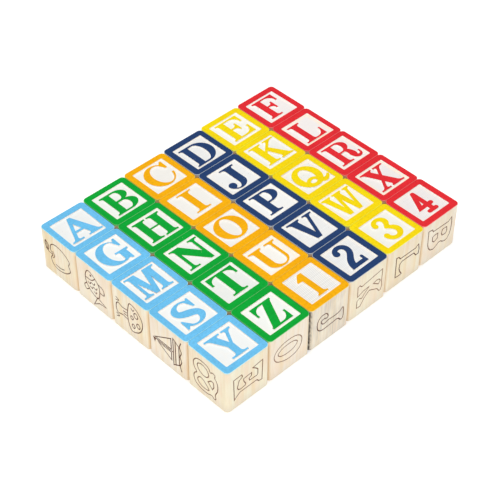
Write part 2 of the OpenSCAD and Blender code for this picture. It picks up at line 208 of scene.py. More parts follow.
# Noises: how many waves there are to a millimetre along each axis, then detail and roughness. These lie in
# the log, whose third axis runs along the fibres.
LOG_NOISES = {
    "ring_bend": ((0.05, 0.05, 0.012), 2.0, 0.5),
    "streak": ((1.4, 1.4, 0.035), 3.0, 0.6),
    "band": ((0.30, 0.30, 0.012), 2.0, 0.55),
    "fibre": ((9.0, 9.0, 0.16), 2.0, 0.65),
    "cloud": ((0.13, 0.13, 0.06), 2.0, 0.5),
    "mottle": ((1.1, 1.1, 0.45), 3.0, 0.6),
    "pores": ((6.0, 6.0, 0.4), 2.0, 0.5),
    "ground_patch": ((0.22, 0.22, 0.22), 3.0, 0.6),
    "ground_fine": ((1.1, 1.1, 0.3), 3.0, 0.6),
    "specks": ((1.5, 1.5, 0.5), 1.0, 0.5),
    "wall": ((0.9, 0.9, 0.5), 2.0, 0.5),
    "line_patch": ((0.42, 0.42, 0.42), 3.0, 0.6),
}

# These lie in their object, and their waves are counted to a metre.
OBJECT_NOISES = {
    "paint_cloud": ((90.0, 90.0, 90.0), 2.0, 0.5),
    "paint_grain": ((700.0, 700.0, 700.0), 3.0, 0.6),
    "flecks": ((900.0, 900.0, 300.0), 1.0, 0.5),
    "floor": ((3.0, 3.0, 3.0), 2.0, 0.5),
}

# Ramps: the values at which each starts and ends, and its results there, 0 and 1 where no others are given.
RAMPS = {
    "late_wood": (0.45, 1.0),
    "cloud": (0.42, 0.66, 0.0, 0.7),
    "bands": (0.46, 0.68, 0.0, 0.85),
    "bands_by_streaky": (0.0, 1.0, 0.25, 1.0),
    "ring_lines": (0.3, 0.7, 0.1, 0.6),
    "ring_lines_by_streaky": (0.0, 1.0, 0.3, 1.0),
    "stain": (0.36, 0.66),
    "stain_by_cloud": (0.38, 0.56, 0.25, 1.0),
    "fibres": (0.5, 0.8, 0.0, 0.2),
    "side_roughness": (0.3, 0.8, 0.55, 0.7),
    "pores": (0.45, 0.7, 0.1, 0.4),
    # Painted shade in the gaps between blocks.
    "gap_shade": (0.0, 1.0, 0.0, 0.8),
    # Painted grey shade and painted dark shadow in one gap.
    "grey_gap_shade": (0.0, -0.4),
    "grey_gap_shade_by_mottle": (0.38, 0.6, 0.2, 0.9),
    "gap_shadow": (-0.5, -0.95),
    "gap_shadow_by_mottle": (0.36, 0.54, 0.45, 1.0),
    "run_by_touch": (0.5, 1.0),
    "margin_by_patch": (0.35, 0.6, 0.4, 1.0),
    "ground_patches": (0.5, 0.75, 0.0, 0.25),
    "specks": (0.74, 0.80),
    "wall_cream": (0.35, 0.7),
    "singe": (0.42, 0.62),
    "line_patches": (0.4, 0.7, 0.0, 0.3),
    "paint_cloud": (0.3, 0.7, 0.0, 0.9),
    "paint_grain": (0.42, 0.70, 0.0, 0.45),
    "paint_roughness": (0.3, 0.7, 0.5, 0.64),
    "flecks": (0.79, 0.84, 0.0, 0.75),
}

# The same over a height above the block's foot or, for the margin, a distance from its middle.
LENGTH_RAMPS = {
    # Painted shade towards the foot.
    "painted_foot_shade": (6.0, 0.6, 0.0, 0.3),
    # Painted shade in the gaps: paler near the top and weaker just under the rim.
    "pale_gap_shade": (26.0, 28.5),
    "gap_shade": (29.8, 28.4, 0.15, 1.0),
    "rim": (WOOD_TOP - 0.45, WOOD_TOP - 0.15, 0.0, 0.95),
    "run": (WOOD_TOP - 1.3, WOOD_TOP - 0.7, 0.0, 0.8),
    "crest": (GROUND_Z + RASTER_LOW, GROUND_Z + RASTER_RISE),
    "margin": (8.6, 10.4),
    "singe": (WOOD_TOP - 0.5, WOOD_TOP),
}

# How deep, and then how strong, each surface's relief is.
BUMPS = {
    "fibre": (0.05, 0.6),
    "pores": (0.04, 0.6),
    "ground": (0.012, 0.4),
    "wall": (0.03, 0.4),
    "line": (0.04, 0.5),
    "paint": (0.02, 0.5),
}
ROUGHNESS = {"end": 0.7, "ground": 0.8, "wall": 0.75, "line": 0.9, "floor": 0.9}


# Camera and light

# The camera was fitted to the corners of the painted frames in the photo. Angles are in degrees.
CAMERA_TARGET = (-20.5735, -20.0671, 30.0)
CAMERA_AZIMUTH = -44.2094
CAMERA_ELEVATION = 43.7166
CAMERA_DISTANCE = 751.41
CAMERA_ROLL = 0.3182
LENS = 99.958
SENSOR = 36.0
CLIP_METRES = (0.01, 20.0)

SKY_COLOUR = (1.0, 0.995, 0.985, 1.0)
SKY_STRENGTH = 0.36

# Each lamp's place and width, in metres, and its power in watts.
LAMPS = {
    "overhead": ((-0.10, -0.05, 1.2), 0.9, 9.6),
    "left_front": ((-0.9, -0.9, 0.55), 0.8, 2.4),
}


def add_camera():
    az, el, roll = (math.radians(a) for a in (CAMERA_AZIMUTH, CAMERA_ELEVATION, CAMERA_ROLL))
    back = Vector((math.sin(az) * math.cos(el), -math.cos(az) * math.cos(el), math.sin(el)))
    level = Vector((math.cos(az), math.sin(az), 0.0))
    above = back.cross(level)
    right = level * math.cos(roll) + above * math.sin(roll)
    up = above * math.cos(roll) - level * math.sin(roll)
    data = bpy.data.cameras.new("camera")
    data.lens, data.sensor_width = LENS, SENSOR
    data.clip_start, data.clip_end = CLIP_METRES
    cam = bpy.data.objects.new("camera", data)
    bpy.context.scene.collection.objects.link(cam)
    place = Matrix((right, up, back)).transposed().to_4x4()
    place.translation = (Vector(CAMERA_TARGET) + back * CAMERA_DISTANCE) * MM
    cam.matrix_world = place
    bpy.context.scene.camera = cam


def add_lamp(name):
    """A round lamp that faces the middle of the set."""
    where, size, power = LAMPS[name]
    data = bpy.data.lights.new(name, "AREA")
    data.shape, data.size, data.energy = "DISK", size, power
    lamp = bpy.data.objects.new(name, data)
    bpy.context.scene.collection.objects.link(lamp)
    lamp.location = where
    lamp.rotation_mode = "QUATERNION"
    lamp.rotation_quaternion = Vector(where).to_track_quat("Z", "Y")


def add_light():
    scene = bpy.context.scene
    scene.view_settings.view_transform = "Standard"
    world = bpy.data.worlds.new("studio")
    scene.world = world
    world.use_nodes = True
    sky = world.node_tree.nodes["Background"]
    sky.inputs["Color"].default_value = SKY_COLOUR
    sky.inputs["Strength"].default_value = SKY_STRENGTH
    for name in LAMPS:
        add_lamp(name)


# Nodes for the materials

# A colour mix's sockets: its share, its two colours and its result.
MIX_SHARE, MIX_A, MIX_B, MIX_RESULT = 0, 6, 7, 2


class Nodes:
    """A material's node tree, written one short call a node."""

    def __init__(self, name):
        self.material = bpy.data.materials.new(name)
        self.material.use_nodes = True
        self.tree = self.material.node_tree
        self.shader = self.tree.nodes["Principled BSDF"]

    def add(self, kind, inputs=(), **settings):
        node = self.tree.nodes.new(kind)
        for key, value in settings.items():
            setattr(node, key, value)
        for key, value in dict(inputs).items():
            self.put(node.inputs[key], value)
        return node

    def put(self, socket, value):
        if isinstance(value, bpy.types.NodeSocket):
            self.tree.links.new(value, socket)
        else:
            socket.default_value = value

    def set(self, **inputs):
        """Shader inputs, with _ for the space in a name."""
        for key, value in inputs.items():
            self.put(self.shader.inputs[key.replace("_", " ")], value)

    def attribute(self, name):
        return self.add("ShaderNodeAttribute", attribute_name=name).outputs["Vector"]

    def place(self):
        """Where a point lies, from its object's origin, which for wood is the middle of the block's foot."""
        return self.add("ShaderNodeTexCoord").outputs["Object"]

    def axes(self, vector):
        return self.add("ShaderNodeSeparateXYZ", {0: vector}).outputs[:3]

    def three(self, name):
        """The three numbers that a point's attribute holds."""
        return self.axes(self.attribute(name))

    def scaled(self, vector, by):
        return self.add("ShaderNodeVectorMath", {0: vector, 1: by}, operation="MULTIPLY").outputs[0]

    def length(self, vector):
        return self.add("ShaderNodeVectorMath", {0: vector}, operation="LENGTH").outputs["Value"]

    def noise(self, vector, waves, detail, rough):
        place = self.scaled(vector, waves)
        return self.add("ShaderNodeTexNoise", {"Vector": place, "Scale": 1.0, "Detail": detail,
                                               "Roughness": rough}).outputs["Fac"]

    def log_noise(self, name):
        return self.noise(self.attribute("log"), *LOG_NOISES[name])

    def object_noise(self, name):
        return self.noise(self.place(), *OBJECT_NOISES[name])

    def map_range(self, value, low, high, out_low=0.0, out_high=1.0):
        return self.add("ShaderNodeMapRange", {"Value": value, "From Min": low, "From Max": high,
                                               "To Min": out_low, "To Max": out_high}).outputs["Result"]

    def ramp(self, value, name):
        return self.map_range(value, *RAMPS[name])

    def length_ramp(self, value, name):
        low, high, *results = LENGTH_RAMPS[name]
        return self.map_range(value, low * MM, high * MM, *results)

    def maths(self, operation, a, b=0.0):
        return self.add("ShaderNodeMath", {0: a, 1: b}, operation=operation).outputs[0]

    def times(self, a, b):
        return self.maths("MULTIPLY", a, b)

    def mix(self, share, a, b):
        """Colour a with that share of colour b."""
        node = self.add("ShaderNodeMix", data_type="RGBA")
        self.put(node.inputs[MIX_SHARE], share)
        self.put(node.inputs[MIX_A], a)
        self.put(node.inputs[MIX_B], b)
        return node.outputs[MIX_RESULT]

    def tinted(self, colour, share, name):
        """The colour with that share of a named one."""
        return self.mix(share, colour, COLOURS[name])

    def bump(self, height, name):
        depth, strength = BUMPS[name]
        return self.add("ShaderNodeBump", {"Height": height, "Distance": depth * MM,
                                           "Strength": strength}).outputs["Normal"]


def grained(n, fibre):
    """Bare pale wood as a solid pattern: year rings round a pith beside the block, and fibres along them."""
    hue, grey, _ = n.three("tone")
    streaky, _, _ = n.three("figure")
    streak, cloud = n.log_noise("streak"), n.log_noise("cloud")
    radius = n.length(n.scaled(n.attribute("log"), ACROSS_LOG))
    rings = n.maths("ADD", radius, n.times(n.log_noise("ring_bend"), RING_WANDER))
    phase = n.maths("FRACT", n.maths("DIVIDE", rings, RING_WIDTH))
    late = n.maths("POWER", n.ramp(phase, "late_wood"), LATE_POWER)
    bands = n.times(n.ramp(n.log_noise("band"), "bands"), n.ramp(streaky, "bands_by_streaky"))
    lines = n.times(n.ramp(streak, "ring_lines"), n.ramp(streaky, "ring_lines_by_streaky"))
    stain = n.times(n.ramp(streak, "stain"), n.ramp(cloud, "stain_by_cloud"))
    colour = n.mix(hue, COLOURS["cream_wood"], COLOURS["rosy_wood"])
    colour = n.tinted(colour, n.ramp(cloud, "cloud"), "cloud")
    colour = n.tinted(colour, bands, "band")
    colour = n.tinted(colour, n.times(late, lines), "late_wood")
    colour = n.tinted(colour, n.times(grey, stain), "grey_stain")
    return n.tinted(colour, n.ramp(fibre, "fibres"), "fibre")


def with_painted_shade(n, colour, height, gap_shade):
    """Painted shade on the wood: darker towards its foot and, beside its neighbours, a warm painted shade in
    the gaps, and on one side of two blocks a grey painted shade and a dark painted shadow.

    The last argument runs from 0 to 1 where the gap shade falls, and from 0 to -1 where the dark shadow
    falls."""
    gap_shade = n.times(gap_shade, n.length_ramp(height, "gap_shade"))
    mottle = n.log_noise("mottle")
    brown = n.mix(n.length_ramp(height, "pale_gap_shade"), COLOURS["low_gap_shade"], COLOURS["high_gap_shade"])
    grey_gap_shade = n.times(n.ramp(gap_shade, "grey_gap_shade"), n.ramp(mottle, "grey_gap_shade_by_mottle"))
    gap_shadow = n.times(n.ramp(gap_shade, "gap_shadow"), n.ramp(mottle, "gap_shadow_by_mottle"))
    colour = n.tinted(colour, n.length_ramp(height, "painted_foot_shade"), "painted_foot_shade")
    colour = n.mix(n.ramp(gap_shade, "gap_shade"), colour, brown)
    colour = n.tinted(colour, grey_gap_shade, "grey_gap_shade")
    return n.tinted(colour, gap_shadow, "gap_shadow")


def wood_colour(n, fibre, pores=None):
    """Grained wood with painted shade at its foot and in the gaps, tinted at its pores if they are given,
    under the paint that ran over its rim, drawn lighter than the coat as a painted highlight.

    The paint runs further down where the block touches another."""
    height = n.axes(n.place())[2]
    touching = n.three("figure")[2]
    colour = with_painted_shade(n, grained(n, fibre), height, touching)
    if pores is not None:
        colour = n.tinted(colour, n.ramp(pores, "pores"), "pore")
    run = n.times(n.ramp(touching, "run_by_touch"), n.length_ramp(height, "run"))
    rim = n.maths("MAXIMUM", n.length_ramp(height, "rim"), run)
    # The rim and the run take the rim's colour, lighter than the coat: a painted highlight.
    return n.mix(rim, colour, n.attribute("rim"))


def side_wood():
    n = Nodes("side_wood")
    fibre = n.log_noise("fibre")
    n.set(Base_Color=wood_colour(n, fibre), Roughness=n.ramp(fibre, "side_roughness"))
    n.set(Normal=n.bump(fibre, "fibre"))
    return n.material


def end_wood():
    """End grain and rims, with open pores."""
    n = Nodes("end_wood")
    pores = n.log_noise("pores")
    n.set(Base_Color=wood_colour(n, n.log_noise("fibre"), pores), Roughness=ROUGHNESS["end"])
    n.set(Normal=n.bump(pores, "pores"))
    return n.material


def ground_wood():
    """The engraved ground, bleached nearly white, with the laser's raster lines.

    It is cream along the frame on some blocks, and a few have small burnt specks."""
    n = Nodes("ground_wood")
    cream, specked, rastered = n.three("print")
    x, y, height = n.axes(n.place())
    out = n.maths("MAXIMUM", n.maths("ABSOLUTE", x), n.maths("ABSOLUTE", y))
    patch = n.log_noise("ground_patch")
    margin = n.times(n.length_ramp(out, "margin"), n.ramp(patch, "margin_by_patch"))
    specks = n.times(specked, n.ramp(n.log_noise("specks"), "specks"))
    colour = n.mix(rastered, COLOURS["ground"], COLOURS["grey_ground"])
    colour = n.tinted(colour, n.length_ramp(height, "crest"), "crest")
    # A painted reflection: a little of the rim paint's colour on the ground.
    colour = n.mix(PAINT_REFLECTED_ON_GROUND, colour, n.attribute("rim"))
    colour = n.tinted(colour, n.times(margin, cream), "cream_margin")
    colour = n.tinted(colour, n.ramp(patch, "ground_patches"), "ground_patch")
    colour = n.tinted(colour, specks, "speck")
    n.set(Base_Color=colour, Roughness=ROUGHNESS["ground"])
    n.set(Normal=n.bump(n.log_noise("ground_fine"), "ground"))
    return n.material


def wall_wood():
    """The upright walls that the laser left: cream, and browned at the coat on some blocks."""
    n = Nodes("wall_wood")
    _, singed, _ = n.three("figure")
    height = n.axes(n.place())[2]
    rag = n.log_noise("wall")
    singe = n.times(n.times(n.length_ramp(height, "singe"), singed), n.ramp(rag, "singe"))
    colour = n.mix(n.ramp(rag, "wall_cream"), COLOURS["pale_wall"], COLOURS["cream_wall"])
    colour = n.tinted(colour, singe, "singe")
    n.set(Base_Color=colour, Roughness=ROUGHNESS["wall"], Normal=n.bump(rag, "wall"))
    return n.material


def burnt_wood():
    """The charred bottom of a laser line, darker on some blocks than on others."""
    n = Nodes("burnt_wood")
    _, _, char = n.three("tone")
    patch = n.log_noise("line_patch")
    colour = n.mix(char, COLOURS["faint_line"], COLOURS["dark_line"])
    colour = n.tinted(colour, n.ramp(patch, "line_patches"), "line_patch")
    n.set(Base_Color=colour, Roughness=ROUGHNESS["line"], Normal=n.bump(patch, "line"))
    return n.material


def paint(name):
    """A thin satin coat: the grain shows faintly through it, and its colour is a little uneven."""
    n = Nodes("paint_" + name)
    own = PAINT_COLOURS[name]
    dark = (*(PAINT_DARKER * c for c in own), 1.0)
    light = (*(min(1.0, PAINT_LIGHTER * c) for c in own), 1.0)
    grain = n.object_noise("paint_grain")
    colour = n.mix(n.ramp(n.object_noise("paint_cloud"), "paint_cloud"), (*own, 1.0), light)
    colour = n.mix(n.ramp(grain, "paint_grain"), colour, dark)
    colour = n.tinted(colour, n.ramp(n.object_noise("flecks"), "flecks"), "fleck")
    n.set(Base_Color=colour, Roughness=n.ramp(grain, "paint_roughness"), Normal=n.bump(grain, "paint"))
    n.set(Specular_IOR_Level=PAINT_SPECULAR)
    return n.material


def floor_material():
    n = Nodes("floor")
    colour = n.mix(n.object_noise("floor"), FLOOR_DIM, FLOOR_BRIGHT)
    n.set(Base_Color=colour, Roughness=ROUGHNESS["floor"], Emission_Color=WHITE, Emission_Strength=FLOOR_GLOW)
    return n.material


# Line drawings for the sides. Each is a list of strokes in millimetres, upright, about 20 high and 16 wide.
# "loop" and "line" run smoothly through their points, closed and open. "shape" and "path" keep their corners,
# and "blot" is a shape that is burnt all over.

def ring(x, y, rx, ry=None, points=10):
    ry = rx if ry is None else ry
    turn = [2 * math.pi * i / points for i in range(points)]
    return ("loop", [(x + rx * math.cos(t), y + ry * math.sin(t)) for t in turn])


def draw_apple():
    return [
        ("loop", [(0, 4.6), (2.6, 6.0), (6.4, 5.2), (8.2, 1.4), (7.2, -4.2), (3.8, -8.6), (0.4, -7.9),
                  (-3.0, -8.8), (-6.6, -4.8), (-8.0, 0.8), (-6.6, 5.0), (-2.8, 6.1)]),
        ("line", [(0, 4.6), (0.3, 7.2), (1.5, 9.6)]),
        ("loop", [(1.2, 8.2), (3.6, 10.0), (6.8, 9.6), (4.4, 7.4)]),
        ("line", [(2.0, 8.5), (4.2, 8.8), (6.2, 9.4)]),
        ("line", [(-5.6, 2.8), (-6.0, -0.2), (-5.0, -3.6)]),
        ("line", [(-2.0, 4.4), (0, 3.2), (2.2, 4.3)]),
    ]


def draw_fish():
    return [
        ("loop", [(-9.6, 0.2), (-6.6, 3.6), (-1.6, 5.4), (3.4, 3.6), (6.4, 0.6), (3.6, -3.0), (-1.6, -4.8),
                  (-6.6, -3.4)]),
        ("shape", [(6.0, 0.5), (10.6, 5.2), (9.4, 0.4), (10.8, -4.8)]),
        ("line", [(-5.4, 3.9), (-4.0, 0.3), (-5.4, -3.7)]),
        ("blot", ring(-6.9, 1.2, 0.7, points=8)[1]),
        ("line", [(-3.0, 5.0), (-0.6, 8.2), (3.2, 7.4), (2.2, 4.2)]),
        ("line", [(-1.6, -4.8), (-0.2, -7.4), (2.4, -7.0), (1.6, -4.2)]),
        ("line", [(-2.4, 2.4), (-1.4, 1.2), (-2.4, 0.0)]),
        ("line", [(0.2, 3.0), (1.2, 1.8), (0.2, 0.6)]),
        ("line", [(0.0, -0.2), (1.0, -1.4), (0.0, -2.6)]),
        ("line", [(-2.6, -0.8), (-1.6, -2.0), (-2.6, -3.2)]),
        ("line", [(2.8, 1.4), (3.7, 0.4), (2.8, -0.8)]),
    ]


def draw_mushroom():
    return [
        ("loop", [(-9.2, 0.8), (-8.0, 5.2), (-3.8, 8.8), (1.4, 9.2), (6.4, 6.6), (9.0, 1.6), (6.0, -0.6),
                  (0.0, -1.4), (-6.2, -0.6)]),
        ("line", [(-3.2, -1.2), (-2.6, -5.0), (-3.6, -8.4), (-0.4, -9.8), (3.4, -8.8), (2.6, -5.0),
                  (3.2, -1.2)]),
        ring(-3.6, 4.8, 1.7, 1.4),
        ring(2.4, 6.2, 1.5, 1.2),
        ring(4.8, 2.6, 1.3, 1.0),
        ring(-0.4, 1.8, 1.2, 0.9),
        ("line", [(-6.6, 1.6), (-5.6, 2.6), (-6.4, 3.4)]),
        ("line", [(-0.8, -2.2), (-0.5, -4.4)]),
        ("line", [(1.0, -2.2), (1.0, -4.0)]),
        ("line", [(-6.6, -9.4), (-5.4, -7.4), (-4.6, -9.6)]),
        ("line", [(4.4, -9.6), (5.4, -7.8), (6.4, -9.6)]),
    ]


def draw_boat():
    return [
        ("shape", [(-8.8, -4.2), (9.0, -4.2), (6.2, -8.2), (-6.4, -8.2)]),
        ("path", [(-0.4, -4.2), (-0.4, 9.8)]),
        ("shape", [(0.6, 8.6), (0.6, -2.8), (7.8, -2.8)]),
        ("shape", [(-1.4, 6.4), (-1.4, -2.8), (-6.8, -2.8)]),
        ("blot", [(-0.4, 9.8), (-3.4, 8.9), (-0.4, 8.0)]),
        ("path", [(-8.0, -5.7), (8.1, -5.7)]),
        ("line", [(-9.6, -9.6), (-6.4, -8.7), (-3.2, -9.8), (0.0, -8.8), (3.2, -9.8), (6.4, -8.7),
                  (9.6, -9.6)]),
    ]


def star_points(outer, inner):
    """The corners of a star with five points, by turns on its outer and its inner circle."""
    return [(reach * math.sin(math.pi * i / 5), reach * math.cos(math.pi * i / 5))
            for i, reach in enumerate([outer, inner] * 5)]


def draw_star():
    outer = star_points(9.6, 4.2)
    ray_end = 0.62
    rays = [("path", [(x, y), (ray_end * x, ray_end * y)]) for x, y in outer[::2]]
    return [("shape", outer), ("shape", star_points(5.4, 2.4))] + rays


def draw_house():
    return [
        ("path", [(-6.6, 1.4), (-6.6, -8.8), (6.8, -8.8), (6.8, 1.4)]),
        ("shape", [(-9.0, 1.2), (0.0, 9.0), (9.2, 1.2)]),
        ("path", [(3.8, 5.8), (3.8, 9.6), (6.0, 9.6), (6.0, 3.9)]),
        ("shape", [(-1.6, -8.8), (-1.6, -2.8), (1.8, -2.8), (1.8, -8.8)]),
        ("shape", [(-5.2, -1.0), (-5.2, -4.0), (-2.8, -4.0), (-2.8, -1.0)]),
        ("path", [(-4.0, -1.0), (-4.0, -4.0)]),
        ("path", [(-5.2, -2.5), (-2.8, -2.5)]),
        ("shape", [(3.2, -1.0), (3.2, -4.0), (5.6, -4.0), (5.6, -1.0)]),
        ("blot", ring(1.0, -5.9, 0.45, points=6)[1]),
        ring(0.0, 4.4, 1.3),
    ]


def draw_leaf():
    veins = [("line", [(0.0, y), (s * 2.4, y + 1.5), (s * w, y + 2.2)])
             for y, w in ((-4.6, 4.6), (-1.6, 5.4), (1.4, 4.2), (4.2, 2.2)) for s in (-1, 1)]
    return [
        ("loop", [(0.0, 10.2), (3.4, 7.2), (6.4, 2.4), (6.2, -2.4), (3.4, -5.8), (0.0, -7.0), (-3.4, -5.8),
                  (-6.2, -2.4), (-6.4, 2.4), (-3.4, 7.2)]),
        ("line", [(0.0, 8.4), (0.0, -2.0), (-0.5, -7.0), (-1.6, -10.0)]),
    ] + veins


def draw_flower():
    petals = []
    for i in range(6):
        a = math.pi * i / 3
        c, s = math.cos(a), math.sin(a)
        petals.append(("line", [(x * c - y * s, 3.6 + x * s + y * c)
                                for x, y in ((1.6, -0.9), (4.4, -2.2), (6.2, 0.0), (4.4, 2.2), (1.6, 0.9))]))
    return petals + [
        ring(0.0, 3.6, 1.8),
        ("line", [(0.2, -1.6), (0.6, -5.6), (0.0, -10.2)]),
        ("loop", [(0.4, -7.4), (3.2, -6.8), (5.4, -4.2), (2.4, -4.6)]),
        ("loop", [(0.2, -8.6), (-2.6, -8.2), (-5.0, -5.8), (-2.0, -6.0)]),
    ]


def draw_kite():
    return [
        ("shape", [(0.0, 10.0), (5.8, 3.8), (0.0, -4.2), (-5.8, 3.8)]),
        ("path", [(0.0, 10.0), (0.0, -4.2)]),
        ("path", [(-5.8, 3.8), (5.8, 3.8)]),
        ("line", [(0.0, -4.2), (1.8, -6.0), (-0.6, -7.8), (1.2, -10.0)]),
        ("blot", [(1.8, -6.0), (3.8, -6.8), (3.6, -5.0)]),
        ("blot", [(1.8, -6.0), (0.2, -5.4), (0.4, -6.6)]),
        ("blot", [(-0.6, -7.8), (-2.6, -7.0), (-2.4, -8.8)]),
    ]


def draw_tree():
    return [
        ("shape", [(0.0, 10.2), (3.6, 5.0), (1.8, 5.0), (5.6, 0.2), (3.2, 0.2), (7.4, -5.2), (-7.4, -5.2),
                   (-3.2, 0.2), (-5.6, 0.2), (-1.8, 5.0), (-3.6, 5.0)]),
        ("path", [(-1.4, -5.2), (-1.4, -9.2), (1.6, -9.2), (1.6, -5.2)]),
        ("line", [(-1.8, 5.0), (0.0, 4.2), (1.8, 5.0)]),
        ("line", [(-3.2, 0.2), (0.0, -0.9), (3.2, 0.2)]),
        ring(0.4, 2.0, 0.6, points=8),
        ring(-1.8, -2.6, 0.6, points=8),
        ring(2.6, -3.2, 0.6, points=8),
    ]


def draw_and_sign():
    return [
        ("loop", [(-3.4, 10.4), (-7.4, 9.5), (-9.8, 6.2), (-9.4, 2.2), (-7.6, -0.6), (-9.3, -2.8),
                  (-9.8, -6.0), (-8.2, -9.4), (-4.0, -11.2), (0.6, -11.2), (3.6, -10.2), (5.4, -11.4),
                  (6.6, -10.6), (6.3, -7.6), (7.9, -3.6), (8.2, 0.4), (7.2, 3.6), (6.0, 5.0), (6.2, 7.0),
                  (4.4, 7.8), (2.8, 6.8), (1.2, 9.4)]),
        ("loop", [(-4.4, 7.9), (-6.9, 6.0), (-6.2, 2.8), (-3.6, 0.8), (-0.6, 0.6), (1.4, 2.8), (0.8, 5.8),
                  (-1.6, 7.6)]),
        ("loop", [(-5.2, -2.8), (-7.0, -5.2), (-5.6, -7.8), (-2.4, -8.9), (0.9, -8.4), (1.4, -7.4),
                  (-0.6, -5.0), (-2.8, -3.2)]),
        ("shape", [(0.9, -1.6), (3.3, 0.9), (5.0, 0.6), (5.3, -2.6), (4.1, -5.2)]),
    ]


# Letters that lie on their sides on the front faces of the nearest row, bold slab-serif outlines. The first
# number runs along the face, and the second up it.

def lying_e():
    return [("shape", [(10.0, 7.6), (9.6, -7.2), (7.4, -6.8), (6.0, -5.0), (-6.0, -5.0), (-8.2, -6.6),
                       (-10.0, -8.4), (-10.4, 7.0), (-4.8, 7.2), (-4.2, 5.4), (-6.6, 4.0), (-7.8, -0.4),
                       (-7.2, -2.2), (-5.4, -3.0), (-2.4, -2.6), (-2.0, -1.4), (-3.4, 1.6), (-3.4, 3.2),
                       (2.2, 3.6), (2.0, 1.6), (0.4, 0.4), (0.8, -1.2), (6.0, -1.4), (6.6, -0.6),
                       (6.6, 3.0), (5.2, 4.6), (3.0, 6.6)])]


def lying_o():
    return [
        ("loop", [(8.8, 0.4), (7.6, 4.0), (4.2, 6.4), (-0.8, 7.2), (-6.0, 6.6), (-10.0, 4.4), (-11.6, 0.8),
                  (-10.2, -3.0), (-6.6, -5.6), (-1.6, -7.2), (3.6, -6.8), (7.4, -4.2)]),
        ("loop", [(5.4, 1.2), (3.0, 3.4), (-1.4, 4.0), (-6.0, 3.4), (-8.7, 1.2), (-6.8, -1.4), (-2.0, -2.5),
                  (3.0, -1.7)]),
    ]


def lying_j():
    return [("loop", [(9.8, 1.6), (7.6, 0.0), (4.4, -0.6), (-1.2, -0.4), (-4.6, -1.0), (-6.4, 0.4),
                      (-6.6, 2.2), (-4.8, 2.8), (-2.6, 2.0), (-1.6, 3.2), (-3.2, 5.8), (-6.8, 6.0),
                      (-9.2, 3.9), (-9.8, 0.2), (-8.8, -3.2), (-5.8, -5.0), (0.8, -4.9), (6.1, -4.7),
                      (8.4, -7.0), (10.2, -6.4), (10.4, -1.9)])]


def lying_r():
    return [
        ("shape", [(10.8, 8.4), (-5.6, 6.0), (-7.4, 7.8), (-8.8, 7.2), (-8.6, -0.2), (-4.2, 1.6),
                   (0.4, 2.0), (-2.6, -0.8), (-5.0, -3.4), (-7.0, -2.2), (-8.8, -3.4), (-8.8, -8.6),
                   (-6.0, -8.8), (-3.0, -4.4), (0.8, -1.2), (4.4, -3.0), (7.2, -4.4), (9.2, -7.4),
                   (10.2, -7.2), (11.2, -4.6), (10.7, -0.4)]),
        ("shape", [(3.8, 1.9), (6.2, 2.6), (8.4, 2.2), (9.6, 0.4), (8.2, -1.4)]),
    ]


def lying_l():
    return [("shape", [(11.2, 6.0), (12.0, 1.8), (11.6, -1.4), (9.6, -1.4), (7.6, 1.4), (-2.0, 1.6),
                       (-3.8, 0.4), (-4.2, -2.8), (-3.4, -5.4), (-1.8, -8.0), (-3.6, -8.4), (-7.0, -8.0),
                       (-7.2, 7.0), (-5.4, 6.6), (-3.8, 4.6), (8.6, 4.4)])]


def lying_b():
    return [
        ("shape", [(9.2, 8.2), (9.8, 4.0), (9.8, -0.6), (9.0, -4.6), (7.4, -7.0), (5.6, -7.6), (3.4, -7.0),
                   (1.4, -5.4), (-0.4, -5.4), (-2.4, -6.8), (-4.6, -7.8), (-7.2, -7.0), (-9.2, -4.6),
                   (-10.2, -1.4), (-10.6, 9.0), (-7.4, 8.6), (-6.4, 6.6), (6.6, 6.2)]),
        ("shape", [(5.6, 3.0), (6.2, -0.6), (5.2, -1.8), (2.2, -1.6), (1.4, 0.4), (1.9, 3.1)]),
        ("shape", [(-1.9, 2.8), (-2.0, -1.2), (-4.6, -2.3), (-6.2, -1.0), (-6.5, 2.3), (-4.6, 2.9)]),
    ]


PICTURES = (draw_apple, draw_fish, draw_mushroom, draw_boat, draw_star, draw_house, draw_leaf, draw_flower,
            draw_kite, draw_tree)

# How each kind of stroke is burnt.
BURNT_AS = {"loop": "closed", "shape": "closed", "line": "open", "path": "open", "blot": "full"}


def smooth_points(points, closed):
    """A Catmull-Rom curve through the points."""
    count, out = len(points), []
    for i in range(count if closed else count - 1):
        around = [k % count if closed else min(max(k, 0), count - 1) for k in range(i - 1, i + 3)]
        a, b, c, d = (Vector(points[k]) for k in around)
        for step in range(CURVE_STEPS):
            t = step / CURVE_STEPS
            out.append(0.5 * (2 * b + (c - a) * t + (2 * a - 5 * b + 4 * c - d) * t * t
                              + (3 * b - 3 * c + d - a) * t ** 3))
    return out if closed else out + [Vector(points[-1])]


def drawn(strokes, scale=1.0):
    """The strokes as lists of points, each with the way it is burnt: "closed", "open" or "full"."""
    out = []
    for kind, points in strokes:
        points = [(x * scale, y * scale) for x, y in points]
        way = BURNT_AS[kind]
        smooth = kind in ("loop", "line") and len(points) > 2
        out.append((smooth_points(points, way == "closed") if smooth else [Vector(p) for p in points], way))
    return out


# Letters for the sides, from the outline that the coat has on top

def welded(name):
    """A CAD node's mesh as one closed bmesh."""
    bm = bmesh.new()
    bm.from_mesh(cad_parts[name].data)
    bmesh.ops.remove_doubles(bm, verts=bm.verts, dist=WELD)
    bm.normal_update()
    return bm


def level_faces(bm, z):
    """The faces that look straight up at height z."""
    return [face for face in bm.faces
            if face.normal.z > LEVEL_LEAST and abs(face.calc_center_median().z / MM - z) < NEAR]


